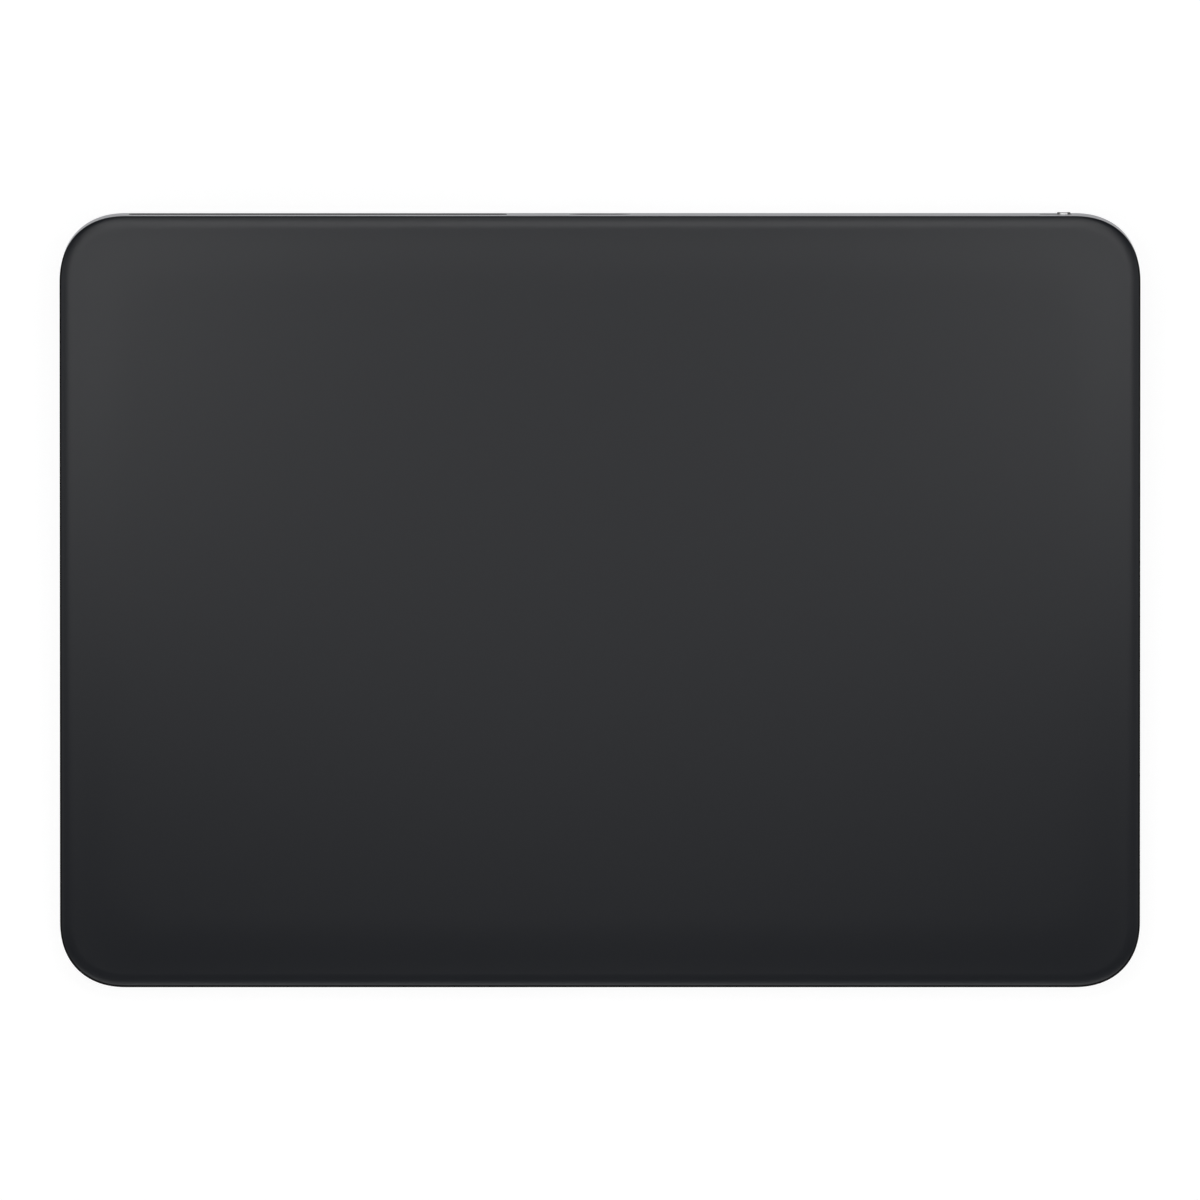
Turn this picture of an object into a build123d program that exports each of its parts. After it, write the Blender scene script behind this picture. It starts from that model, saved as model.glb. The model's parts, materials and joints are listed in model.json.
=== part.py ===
from build123d import *
from math import asin, cos, pi, radians, sin
import os

# A wireless glass trackpad for a desk, in millimetres, +Z up.
# +Y points away from the user and +X to the user's right.
# The origin lies on the desk, under the middle of the outline.

# Outline and wedge
pad_width = 160.0
pad_length = 114.4  # along the slope
front_height = 5.0  # glass plane above the desk at the front edge
rear_height = 11.0  # glass plane above the desk at the rear edge
side_radius = 13.5  # long radius at both ends of each corner
corner_radius = 8.2  # radius in the middle of each corner
side_turn = 16.0  # degrees turned on the long radius

# Travel of what moves
press_travel = 0.2
shift_travel = 0.12
switch_travel = 2.4

# Glass and what is bonded under it
glass_thickness = 1.1
glass_roll_width = 2.2
glass_roll_drop = 0.55
glass_roll_steps = 6
bond_thickness = 0.1
bond_inset = 2.4
sensor_thickness = 0.3
sensor_inset = 2.6
stiffener_thickness = 0.6
stiffener_inset = 3.4
stiffener_window_edge = 1.5  # side of the touch plug to the side of the window
stiffener_window_length = 24.0
stiffener_window_front = 5.0  # front of the window to the front of the touch plug

# Lower shell
foot_height = 0.6
floor_thickness = 0.8
wall_thickness = 1.8
shell_inset = 0.05
rim_clearance = 0.25  # left between the pressed glass and the rim of the shell
bottom_round = 1.0
gasket_width = 0.9
gasket_depth = 0.3
gasket_proud = 0.12
foot_radius = 5.0
foot_recess = 0.3
foot_side_gap = 14.0  # edge of the outline to the middle of a foot
foot_end_gap = 13.0
foot_round = 0.2
cut_overrun = 20.0  # how far cutters run past what they cut

# Screws
screw_shank = 0.75
screw_head = 1.4
screw_head_height = 0.4
screw_recess_width = 0.3
screw_recess_depth = 0.2
screw_fit = 0.02
screw_hole = 0.9  # clearance hole in a plate or a board
screw_tip_gap = 0.1
post_radius = 1.8

# Force beams with their load pads and gel isolators
beam_thickness = 0.6
beam_width = 8.0
beam_root = 7.0
beam_reach = 12.0  # root to the middle of the tip
beam_tip_radius = 3.5
beam_neck_width = 5.0
beam_wall_gap = 9.0
beam_end_gap = 14.7  # edge of the outline to the middle of a beam
beam_screw_spacing = 4.2
beam_screw_reach = 1.3
load_pad_radius = 2.6
load_pad_thickness = 0.4
gel_radius = 3.2
gel_thickness = 0.4
gauge_reach = 4.0  # root to the middle of a gauge
gauge_length = 4.0
gauge_width = 2.4
gauge_thickness = 0.1

# Haptic engine
haptic_place = -14.0
haptic_ear = 7.0  # end of the core to the end of the base
haptic_width = 18.0
haptic_base_thickness = 0.4
haptic_screw_edge = 2.4
haptic_screw_reach = 1.0
core_length = 62.0
core_bar_width = 4.0
core_thickness = 1.8
core_clearance = 0.25  # left between the pressed stiffener and the core
core_edge = 0.45  # edge of the base to the core
tooth_count = 4
tooth_width = 8.0
tooth_length = 6.5
tooth_thickness = 0.9
coil_wall = 1.6
coil_length = 4.6
coil_height = 1.7
coil_round = 0.55
coil_fit = 0.1
rail_clearance = 0.23  # left between the shifted rail and the teeth
rail_width = 2.5
rail_flex_gap = 0.2  # left between the pressed rail and the flex under it

# Battery
cell_thickness = 4.0
cell_round = 0.9
terrace_length = 1.8
terrace_thickness = 0.8
cell_board_gap = 2.5
cell_flex_gap = 1.5
cell_corridor = 9.0  # haptic engine to the cells
adhesive_thickness = 0.15
adhesive_width = 8.0
protection_length = 22.0
protection_width = 3.2
protection_side_gap = 2.5
protection_beam_gap = 1.0
protection_cell_gap = 0.2
tab_width = 3.0
tab_overlap = 1.2
tab_thickness = 0.15

# Boards
board_thickness = 0.8
board_width = 34.0
board_front_gap = 9.0  # haptic engine to the board
board_rear_gap = 2.5  # board to the port board
board_round = 1.0
board_screw_side = 4.2
board_screw_end = 2.0
board_screw_reach = 1.5
can_wall = 0.15
can_gap = 0.2  # chip to the inside of its can
large_can_length = 14.0
large_can_height = 1.3
large_can_edge = 3.0  # side of the board to the can
can_socket_gap = 0.5  # can to the touch socket
small_can = (14.0, 7.5, 1.2)
small_can_side = 4.0
controller_chip = (8.0, 8.0, 0.9)
memory_chip = (6.0, 5.0, 0.8)
radio_chip = (7.0, 6.0, 0.8)
inductor = (3.0, 3.0, 1.2)
inductor_edge = 3.5
inductor_pitch = 4.2
chip_edge = 0.5  # end of the large can to the chip in it
force_connector_share = 0.25
force_connector = (3.0, 3.0)
touch_socket = (5.0, 3.0, 0.7)
touch_socket_edge = 3.5
touch_socket_place = 5.5  # front of the board to the middle of the socket
touch_chip = (9.0, 9.0, 0.8)
touch_chip_side = 6.3
touch_chip_gap = 4.0  # touch plug to the chips
touch_plug = (5.0, 3.0, 0.8)

# Charging socket
feature_height = 4.8  # middle of the socket, the switch and the antenna window
socket_width = 8.34
socket_height = 2.56
socket_wall = 0.3
socket_length = 7.35
socket_depth = 6.2
socket_recess = 0.15  # socket mouth behind the face of the shell
socket_fit = 0.05
tongue_width = 6.69
tongue_thickness = 0.7
tongue_recess = 0.9
contact_count = 12
contact_pitch = 0.5
contact_width = 0.25
contact_length = 3.6
contact_thickness = 0.04
port_board_width = 24.0
port_board_rear_gap = 0.3
port_board_length = 8.7
bracket_thickness = 0.3
bracket_width = 4.0
bracket_fit = 0.02
bracket_foot = 5.4
bracket_setback = 2.6  # socket mouth to the bracket
port_screw_reach = 2.0

# Power switch
slot_side_gap = 10.2  # side of the outline to the slot
slot_length = 4.6
slot_height = 1.9
knob_width = 2.0
knob_height = 1.7
knob_proud = 0.2
knob_round = 0.15
carriage_thickness = 1.0
carriage_height = 3.2
carriage_margin = 0.3
carriage_wall_gap = 0.35
indicator_thickness = 0.15
indicator_height = 2.4
frame_fit = 0.1
frame_wall = 0.5
frame_setback = 0.3  # front of the frame behind the front of the carriage
switch_board_thickness = 0.6
switch_board_length = 4.8
switch_board_margin = 1.2
switch_screw_reach = 1.2
switch_screw_edge = 1.6

# Antenna
window_side_gap = 10.2  # side of the outline to the window
window_socket_gap = 13.8  # middle of the socket to the window
window_height = 3.8
window_round = 1.0
window_lip = 0.8
window_end_lip = 0.2
window_lip_thickness = 0.5
antenna_thickness = 0.3
antenna_end_gap = 1.0
antenna_height = 3.0

# Flexible printed circuits
flex_thickness = 0.15
flex_bend = 0.5
flex_width = 3.0
flex_landing = 3.0
port_flex_width = 8.0
haptic_flex_width = 8.0
switch_flex_width = 2.0
antenna_flex_width = 1.6
antenna_flex_run = 1.5  # middle of the flex beside the edge of the board
antenna_flex_share = 0.25  # how high it reaches on the antenna board

# Worked-out sizes
tilt = asin((rear_height - front_height) / pad_length)
deck_middle = (front_height + rear_height) / 2
sensor_depth = glass_thickness + bond_thickness
sensor_under = sensor_depth + sensor_thickness
stack_depth = sensor_under + stiffener_thickness
rim_depth = glass_thickness + press_travel + rim_clearance
floor_top = foot_height + floor_thickness
inner_inset = shell_inset + wall_thickness
wall_reach = wall_thickness / cos(tilt)  # level thickness of the leaning rear wall
shell_overhang = (rear_height - foot_height - bottom_round) * sin(tilt)
deck_shift = -shell_overhang / 2

beam_top = stack_depth + gel_thickness + load_pad_thickness
beam_under = beam_top + beam_thickness
beam_outer = pad_width / 2 - inner_inset - beam_wall_gap
beam_tip = beam_outer - beam_root - beam_reach
beam_place = pad_length / 2 - beam_end_gap

core_top = stack_depth + press_travel + core_clearance
rail_height = core_clearance + core_thickness - flex_thickness - rail_flex_gap
core_under = core_top + core_thickness
base_under = core_under + haptic_base_thickness
haptic_length = core_length + 2 * haptic_ear
haptic_rear = haptic_place + haptic_width / 2
tooth_front = haptic_place - haptic_width / 2 + core_edge + core_bar_width
tooth_end = tooth_front + tooth_length
tooth_pitch = core_length / tooth_count

board_top = feature_height - socket_height / 2 - socket_wall
board_under = board_top - board_thickness
cell_side = board_width / 2 + cell_board_gap
cell_outer = beam_outer - cell_flex_gap
cell_front = haptic_rear + cell_corridor
cell_bottom = floor_top + adhesive_thickness

base_align = (Align.CENTER, Align.CENTER, Align.MIN)
deck = Plane(
    origin=(0, deck_shift, deck_middle),
    x_dir=(1, 0, 0),
    z_dir=(0, -sin(tilt), cos(tilt)),
)
level = Plane.XY


def deck_y(length_place, depth):
    return deck_shift + length_place * cos(tilt) + depth * sin(tilt)


def deck_z(length_place, depth):
    return deck_middle + length_place * sin(tilt) - depth * cos(tilt)


def rear_face(height):
    # Y of the leaning rear face of the shell at a height above the desk
    edge = pad_length / 2 - shell_inset
    depth = (deck_middle + edge * sin(tilt) - height) / cos(tilt)
    return deck_y(edge, depth)


socket_mouth = rear_face(feature_height) - socket_recess
port_board_rear = rear_face(board_top) - wall_reach - port_board_rear_gap
port_board_front = port_board_rear - port_board_length
board_front = haptic_rear + board_front_gap
board_rear = port_board_front - board_rear_gap
board_middle = (board_front + board_rear) / 2
touch_socket_side = board_width / 2 - touch_socket_edge - touch_socket[0] / 2
touch_plug_place = touch_socket_place + touch_socket[1] + 2 * flex_bend + touch_plug[1]
touch_plug_front = board_front + touch_plug_place - touch_plug[1] / 2
touch_plug_rear = touch_plug_front + touch_plug[1]
stiffener_window_width = 2 * (touch_socket_side + touch_plug[0] / 2 + stiffener_window_edge)
stiffener_window_place = touch_plug_front - stiffener_window_front + stiffener_window_length / 2
large_can_right = touch_socket_side - touch_socket[0] / 2 - can_socket_gap
large_can_width = board_width / 2 - large_can_edge + large_can_right
large_can = (large_can_width, large_can_length, large_can_height)
can_row_gap = (board_rear - board_front - 2 * flex_landing - large_can_length - small_can[1]) / 3
large_can_place = (
    large_can_right - large_can_width / 2,
    flex_landing + can_row_gap + large_can_length / 2,
)
small_can_place = (
    small_can_side,
    flex_landing + 2 * can_row_gap + large_can_length + small_can[1] / 2,
)
cell_rear = beam_place - beam_width / 2 - protection_beam_gap - terrace_length
protection_front = cell_rear + protection_cell_gap
protection_middle = protection_front + protection_width / 2
protection_top = cell_bottom + board_thickness
slot_right = pad_width / 2 - slot_side_gap
slot_left = slot_right - slot_length
knob_gap = (slot_length - knob_width - switch_travel) / 2
knob_place = slot_right - knob_gap - knob_width / 2
carriage_front = rear_face(feature_height + carriage_height / 2) - wall_reach - carriage_wall_gap
carriage_left = slot_left - carriage_margin
carriage_right = slot_right + switch_travel + carriage_margin
frame_height = carriage_height + 2 * (frame_fit + frame_wall)
frame_left = carriage_left - switch_travel - frame_fit - frame_wall
frame_right = carriage_right + frame_fit + frame_wall
frame_front = carriage_front - frame_setback
frame_back = carriage_front - carriage_thickness - frame_fit - frame_wall
switch_board_top = feature_height - frame_height / 2
switch_board_rear = frame_front
switch_board_front = switch_board_rear - switch_board_length
window_length = pad_width / 2 - window_side_gap - window_socket_gap
window_middle = -window_socket_gap - window_length / 2
corner_signs = [(side, end) for side in (-1, 1) for end in (-1, 1)]
side_names = {-1: "left", 1: "right"}
end_names = {-1: "front", 1: "rear"}


# Shared shapes

def outline(inset):
    # Three arcs in each corner, joined by straight sides
    half_width = pad_width / 2 - inset
    half_length = pad_length / 2 - inset
    long_radius = side_radius - inset
    short_radius = corner_radius - inset
    step = long_radius - short_radius
    turn = radians(side_turn)
    start = long_radius - step * (cos(turn) - sin(turn))
    middle = (half_width - long_radius + step * cos(turn), half_length - start + step * sin(turn))
    with BuildLine() as edge:
        Line((half_width, 0), (half_width, half_length - start))
        CenterArc((half_width - long_radius, half_length - start), long_radius, 0, side_turn)
        CenterArc(middle, short_radius, side_turn, 90 - 2 * side_turn)
        CenterArc((half_width - start, half_length - long_radius), long_radius, 90 - side_turn, side_turn)
        Line((half_width - start, half_length), (0, half_length))
        mirror(about=Plane.YZ)
        mirror(about=Plane.XZ)
    return make_face(edge.line)


def deck_plate(inset, depth, thickness):
    return extrude(deck * Pos(0, 0, -depth) * outline(inset), amount=-thickness)


def slab(frame, place, size):
    # A box whose base is centred on the place
    return frame * Pos(*place) * Box(*size, align=base_align)


def block(low, high):
    size = [top - bottom for bottom, top in zip(low, high)]
    middle = [(top + bottom) / 2 for bottom, top in zip(low, high)]
    return Pos(*middle) * Box(*size)


def disc(frame, place, radius, height):
    return frame * Pos(*place) * Cylinder(radius, height, align=base_align)


def rounded(shape, radius):
    return fillet(shape.edges().filter_by(Axis.Z), radius)


def ribbon(plane, points, width, thickness=flex_thickness, bend=flex_bend):
    # A bent strip of sheet, built on the left of its path and centred on the plane
    path = FilletPolyline(*points, radius=bend)
    strip = make_face(path.offset_2d(thickness, side=Side.LEFT, closed=True))
    return extrude(plane * strip, amount=width / 2, both=True)


def screw(frame, place, reach):
    # The place is where the head sits; the shank runs down from there
    seat_x, seat_y, seat_z = place
    head = disc(frame, place, screw_head, screw_head_height)
    shank = disc(frame, (seat_x, seat_y, seat_z - reach), screw_shank, reach)
    slot_base = (seat_x, seat_y, seat_z + screw_head_height - screw_recess_depth)
    drive = slab(frame, slot_base, (screw_head, screw_recess_width, screw_head_height))
    drive += slab(frame, slot_base, (screw_recess_width, screw_head, screw_head_height))
    return head + shank - drive


def bore(frame, place, reach):
    # The hole in the shell that a screw seated at the place bites into
    seat_x, seat_y, seat_z = place
    run = reach + screw_tip_gap
    return disc(frame, (seat_x, seat_y, seat_z - run), screw_shank + screw_fit, run)


def plate_holes(frame, places, depth):
    holes = []
    for seat_x, seat_y, seat_z in places:
        holes.append(disc(frame, (seat_x, seat_y, seat_z - depth), screw_hole, 2 * depth))
    return holes


def socket_shape(grow):
    return SlotOverall(socket_width + 2 * grow, socket_height + 2 * grow)


def rear_plane(y, height):
    # A level plane that faces away from the user
    return Plane(origin=(0, y, height), x_dir=(-1, 0, 0), z_dir=(0, 1, 0))


window_plane = Plane(
    origin=(window_middle, rear_face(feature_height), feature_height),
    x_dir=(-1, 0, 0),
    z_dir=(0, cos(tilt), sin(tilt)),
)

# Where the screws sit: x, y or place on the slope, and height of the seat
beam_seats = [
    (side * (beam_outer - beam_root / 2), end * beam_place + offset * beam_screw_spacing / 2, -beam_top)
    for side, end in corner_signs
    for offset in (-1, 1)
]
haptic_seats = [
    (
        side * (haptic_length / 2 - haptic_screw_edge),
        haptic_place + end * (haptic_width / 2 - haptic_screw_edge),
        -core_under,
    )
    for side, end in corner_signs
]
board_seats = [
    (
        side * (board_width / 2 - board_screw_side),
        board_middle + end * ((board_rear - board_front) / 2 - board_screw_end),
        board_top,
    )
    for side, end in corner_signs
]
bracket_middle = socket_mouth - bracket_setback - bracket_width / 2
bracket_hole = socket_width / 2 + socket_wall + bracket_foot / 2 + bracket_thickness
port_seats = [(side * bracket_hole, bracket_middle, board_top + bracket_thickness) for side in (-1, 1)]
switch_seats = [
    (frame_right - switch_screw_edge, switch_board_front + switch_screw_edge, switch_board_top),
    (
        (frame_left + frame_right) / 2,
        switch_board_front + switch_screw_edge,
        switch_board_top,
    ),
]


# Lower shell and what is fixed in its walls

def shell_posts():
    posts = []
    for side, end in corner_signs:
        place = (side * (beam_outer - beam_root / 2), end * beam_place, -beam_under - cut_overrun)
        posts.append(slab(deck, place, (beam_root, beam_width, cut_overrun)))
    for seat_x, seat_y, _ in haptic_seats:
        posts.append(disc(deck, (seat_x, seat_y, -base_under - cut_overrun), post_radius, cut_overrun))
    for seat_x, seat_y, _ in board_seats + port_seats:
        posts.append(disc(level, (seat_x, seat_y, 0), post_radius, board_under))
    for seat_x, seat_y, seat_z in switch_seats:
        posts.append(disc(level, (seat_x, seat_y, 0), post_radius, seat_z - switch_board_thickness))
    above = foot_height + floor_thickness / 2
    room = slab(level, (0, 0, above), (pad_width, pad_length, rear_height))
    return [post & room for post in posts]


def shell_bores():
    sites = [(deck, beam_seats, beam_screw_reach), (deck, haptic_seats, haptic_screw_reach)]
    sites += [(level, board_seats, board_screw_reach), (level, port_seats, port_screw_reach)]
    sites += [(level, switch_seats, switch_screw_reach)]
    return [bore(frame, seat, reach) for frame, seats, reach in sites for seat in seats]


def foot_places():
    across = pad_width / 2 - foot_side_gap
    along = pad_length / 2 - foot_end_gap
    return {(side, end): (side * across, end * along, 0) for side, end in corner_signs}


def window_shape(grow_x, grow_y):
    width = window_length + 2 * grow_x
    height = window_height + 2 * grow_y
    return RectangleRounded(width, height, window_round)


def base_shell():
    room = slab(level, (0, 0, foot_height), (2 * pad_width, 2 * pad_length, rear_height))
    body = deck_plate(shell_inset, rim_depth, cut_overrun) & room
    body = fillet(body.faces().sort_by(Axis.Z)[0].edges(), bottom_round)
    above_floor = slab(level, (0, 0, floor_top), (2 * pad_width, 2 * pad_length, rear_height))
    body -= deck_plate(inner_inset, 0, cut_overrun) & above_floor
    body -= deck_plate(inner_inset - gasket_width, 0, rim_depth + gasket_depth)
    for post in shell_posts():
        body += post
    for (x, y, _) in foot_places().values():
        body -= disc(level, (x, y, 0), foot_radius, foot_height + foot_recess)
    body -= extrude(window_plane * window_shape(0, 0), amount=2 * wall_thickness, both=True)
    body -= extrude(rear_plane(socket_mouth, feature_height) * socket_shape(socket_wall + socket_fit),
                    amount=2 * wall_thickness, both=True)
    slot_low = (slot_left, carriage_front, feature_height - slot_height / 2)
    slot_high = (slot_right, socket_mouth + wall_thickness, feature_height + slot_height / 2)
    body -= block(slot_low, slot_high)
    for hole in shell_bores():
        body -= hole
    return body


def perimeter_gasket():
    height = gasket_depth + gasket_proud
    top = rim_depth - gasket_proud
    return deck_plate(inner_inset - gasket_width, top, height) - deck_plate(inner_inset, 0, cut_overrun)


def foot(place):
    pad = disc(level, place, foot_radius, foot_height + foot_recess)
    return fillet(pad.edges().sort_by(Axis.Z)[0], foot_round)


def antenna_window():
    plug = extrude(window_plane * window_shape(0, 0), amount=-wall_thickness)
    lip_plane = window_plane.offset(-wall_thickness)
    lip = extrude(lip_plane * window_shape(window_end_lip, window_lip), amount=-window_lip_thickness)
    return plug + lip


def antenna_board():
    strip = Rectangle(window_length - 2 * antenna_end_gap, antenna_height)
    board_plane = window_plane.offset(-wall_thickness - window_lip_thickness)
    return extrude(board_plane * strip, amount=-antenna_thickness)


def antenna_flex():
    height = feature_height + antenna_flex_share * antenna_height
    wall = rear_face(height) - wall_reach - (window_lip_thickness + antenna_thickness) / cos(tilt)
    place = -board_width / 2 + antenna_flex_run
    points = [(board_rear - flex_landing / 2, board_top), (wall, board_top), (wall, height)]
    return ribbon(Plane.YZ.offset(place), points, antenna_flex_width)


# Charging socket

def connector_shell():
    ring = socket_shape(socket_wall) - socket_shape(0)
    return extrude(rear_plane(socket_mouth, feature_height) * ring, amount=-socket_length)


def connector_tongue():
    back = extrude(rear_plane(socket_mouth - socket_depth, feature_height) * socket_shape(0),
                   amount=socket_depth - socket_length)
    tongue_end = socket_mouth - tongue_recess
    low = (-tongue_width / 2, socket_mouth - socket_depth, feature_height - tongue_thickness / 2)
    return back + block(low, (tongue_width / 2, tongue_end, feature_height + tongue_thickness / 2))


def connector_contacts():
    strips = []
    middle = socket_mouth - socket_depth + contact_length / 2
    for number in range(contact_count):
        x = (number - (contact_count - 1) / 2) * contact_pitch
        top = feature_height + tongue_thickness / 2
        for z in (top, feature_height - tongue_thickness / 2 - contact_thickness):
            strips.append(slab(level, (x, middle, z), (contact_width, contact_length, contact_thickness)))
    return strips


def port_board():
    low = (-port_board_width / 2, port_board_front, board_under)
    board = rounded(block(low, (port_board_width / 2, port_board_rear, board_top)), board_round)
    return board - plate_holes(level, port_seats, board_thickness + bracket_thickness)


def port_bracket():
    inner = socket_width / 2 + socket_wall + bracket_fit
    top = feature_height + socket_height / 2 + socket_wall + bracket_fit
    outer = inner + bracket_thickness + bracket_foot
    points = [(-outer, board_top), (-inner, board_top), (-inner, top)]
    points += [(inner, top), (inner, board_top), (outer, board_top)]
    strap = ribbon(Plane.XZ.offset(-bracket_middle), points, bracket_width,
                   bracket_thickness, bracket_thickness)
    return strap - plate_holes(level, port_seats, bracket_thickness)


def port_flex():
    step = flex_thickness
    points = [(board_rear - flex_landing, board_top), (board_rear, board_top)]
    points += [(board_rear + board_rear_gap / 2, board_top + 2 * step), (port_board_front, board_top)]
    points += [(port_board_front + flex_landing / 2, board_top)]
    return ribbon(Plane.YZ, points, port_flex_width)


# Power switch

def switch_knob():
    size = (knob_width, rear_face(feature_height) + knob_proud - carriage_front, knob_height)
    middle = (knob_place, carriage_front + size[1] / 2, feature_height)
    knob = Pos(*middle) * Box(*size)
    return fillet(knob.faces().sort_by(Axis.Y)[-1].edges(), knob_round)


def switch_carriage():
    low = (carriage_left, carriage_front - carriage_thickness, feature_height - carriage_height / 2)
    plate = block(low, (carriage_right, carriage_front, feature_height + carriage_height / 2))
    return plate - switch_indicator()


def switch_indicator():
    # The coloured strip that the slot uncovers when the knob is slid across
    low = (knob_place + knob_width / 2, carriage_front - indicator_thickness,
           feature_height - indicator_height / 2)
    return block(low, (carriage_right, carriage_front, feature_height + indicator_height / 2))


def switch_frame():
    body = block((frame_left, frame_back, feature_height - frame_height / 2),
                 (frame_right, frame_front, feature_height + frame_height / 2))
    channel = (carriage_height / 2) + frame_fit
    body -= block((frame_left + frame_wall, frame_back + frame_wall, feature_height - channel),
                  (frame_right - frame_wall, carriage_front, feature_height + channel))
    return body


def switch_board():
    under = switch_board_top - switch_board_thickness
    board = block((frame_left - switch_board_margin, switch_board_front, under),
                  (frame_right, switch_board_rear, switch_board_top))
    board = rounded(board, board_round / 2)
    return board - plate_holes(level, switch_seats, switch_board_thickness)


def switch_flex():
    place = switch_board_front + switch_screw_edge
    lift = board_top - floor_top
    port_edge = port_board_width / 2
    points = [(port_edge - flex_landing / 2, board_top), (port_edge + lift / 2, board_top)]
    points += [(port_edge + lift, floor_top)]
    board_left = frame_left - switch_board_margin
    drop = switch_board_top - floor_top
    points += [(board_left - 2 * drop, floor_top), (board_left - drop, switch_board_top)]
    points += [(board_left + flex_landing / 2, switch_board_top)]
    return ribbon(Plane.XZ.offset(-place), points, switch_flex_width)


# Logic board

def board_point(place):
    # A place on the board, measured from the middle of its front edge
    return (place[0], board_front + place[1], board_top)


def logic_board():
    low = (-board_width / 2, board_front, board_under)
    board = rounded(block(low, (board_width / 2, board_rear, board_top)), board_round)
    return board - plate_holes(level, board_seats, board_thickness)


def shield_can(size, place):
    inside = (size[0] - 2 * can_wall, size[1] - 2 * can_wall, size[2] - can_wall)
    return rounded(slab(level, board_point(place), size), can_gap) - slab(level, board_point(place), inside)


def logic_chips():
    left = large_can_right - large_can_width + chip_edge + controller_chip[0] / 2
    right = large_can_right - chip_edge - memory_chip[0] / 2
    chips = [slab(level, board_point((left, large_can_place[1])), controller_chip)]
    chips.append(slab(level, board_point((right, large_can_place[1])), memory_chip))
    chips.append(slab(level, board_point(small_can_place), radio_chip))
    for row in (-1, 1):
        side = -board_width / 2 + inductor_edge + inductor[0] / 2
        place = (side, small_can_place[1] + row * inductor_pitch / 2)
        chips.append(rounded(slab(level, board_point(place), inductor), can_gap))
    return chips


def force_connector_place(side):
    across = force_connector_share * board_width - force_connector[0] / 2
    return (side * across, board_front + force_connector[1])


def board_connectors():
    socket = slab(level, board_point((touch_socket_side, touch_socket_place)), touch_socket)
    blocks = [socket]
    for side in (-1, 1):
        x, y = force_connector_place(side)
        height = board_under - floor_top - flex_thickness
        size = (force_connector[0], force_connector[1], height)
        blocks.append(slab(level, (x, y, floor_top + flex_thickness), size))
    return blocks


# Battery, right-hand side; the left-hand side is its mirror image

def battery_cell():
    pouch = block((cell_side, cell_front, cell_bottom), (cell_outer, cell_rear - terrace_length,
                                                         cell_bottom + cell_thickness))
    pouch = fillet(pouch.edges(), cell_round)
    terrace = block((cell_side + cell_round, cell_rear - 2 * terrace_length, cell_bottom),
                    (cell_outer - cell_round, cell_rear, cell_bottom + terrace_thickness))
    return pouch + terrace


def battery_adhesive():
    strips = []
    for share in battery_strip_shares:
        x = cell_side + share * (cell_outer - cell_side)
        low = (x - adhesive_width / 2, cell_front + cell_round, floor_top)
        strips.append(block(low, (x + adhesive_width / 2, cell_rear - terrace_length, cell_bottom)))
    low = (cell_side + protection_side_gap, protection_front, floor_top)
    strips.append(block(low, (cell_side + protection_side_gap + protection_length,
                              protection_front + protection_width, cell_bottom)))
    return strips


battery_strip_shares = (0.2, 0.8)
battery_tab_shares = (0.3, 0.75)


def battery_protection_board():
    low = (cell_side + protection_side_gap, protection_front, cell_bottom)
    return block(low, (low[0] + protection_length, protection_front + protection_width, protection_top))


def battery_tabs():
    tabs = []
    for share in battery_tab_shares:
        x = cell_side + protection_side_gap + share * protection_length
        low = (x - tab_width / 2, cell_rear - tab_overlap, protection_top)
        high = (x + tab_width / 2, protection_front + tab_overlap, protection_top + tab_thickness)
        tabs.append(block(low, high))
    return tabs


def battery_flex():
    rise = board_top - protection_top
    edge = board_width / 2 + antenna_flex_run
    points = [(board_width / 2 - flex_landing, board_top), (edge, board_top), (edge + rise, protection_top)]
    points += [(cell_side + protection_side_gap + flex_landing, protection_top)]
    return ribbon(Plane.XZ.offset(-protection_middle), points, flex_width)


# Haptic engine, parallel to the glass

def haptic_base():
    plate = slab(deck, (0, haptic_place, -base_under), (haptic_length, haptic_width, haptic_base_thickness))
    return plate - plate_holes(deck, haptic_seats, haptic_base_thickness)


def tooth_places():
    return [(number - (tooth_count - 1) / 2) * tooth_pitch for number in range(tooth_count)]


def haptic_core():
    bar_place = tooth_front - core_bar_width / 2
    core = slab(deck, (0, bar_place, -core_under), (core_length, core_bar_width, core_thickness))
    low = core_under - (core_thickness - tooth_thickness) / 2
    for x in tooth_places():
        place = (x, tooth_front + tooth_length / 2, -low)
        core += slab(deck, place, (tooth_width, tooth_length, tooth_thickness))
    return core


def haptic_coils():
    coils = []
    middle = core_under - core_thickness / 2
    for x in tooth_places():
        size = (tooth_width + 2 * (coil_fit + coil_wall), coil_length, coil_height)
        place = (x, tooth_front + coil_fit + coil_length / 2, -middle - coil_height / 2)
        winding = slab(deck, place, size)
        winding = fillet(winding.edges().filter_by(Axis((0, 0, 0), deck.y_dir)), coil_round)
        hole_size = (tooth_width + 2 * coil_fit, 2 * coil_length, tooth_thickness + coil_fit)
        coils.append(winding - slab(deck, (x, place[1], -middle - hole_size[2] / 2), hole_size))
    return coils


def attraction_rail():
    front = tooth_end + shift_travel + rail_clearance
    place = (0, front + rail_width / 2, -stack_depth - rail_height)
    return slab(deck, place, (core_length, rail_width, rail_height))


def haptic_flex():
    start = tooth_front + 2 * coil_fit + coil_length
    points = [(deck_y(start, core_under), deck_z(start, core_under))]
    points += [(deck_y(haptic_rear, core_under), deck_z(haptic_rear, core_under))]
    points += [(board_front - flex_landing / 2, board_top), (board_front + flex_landing, board_top)]
    return ribbon(Plane.YZ, points, haptic_flex_width)


# Force beams, front right; the others are its mirror images

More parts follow.
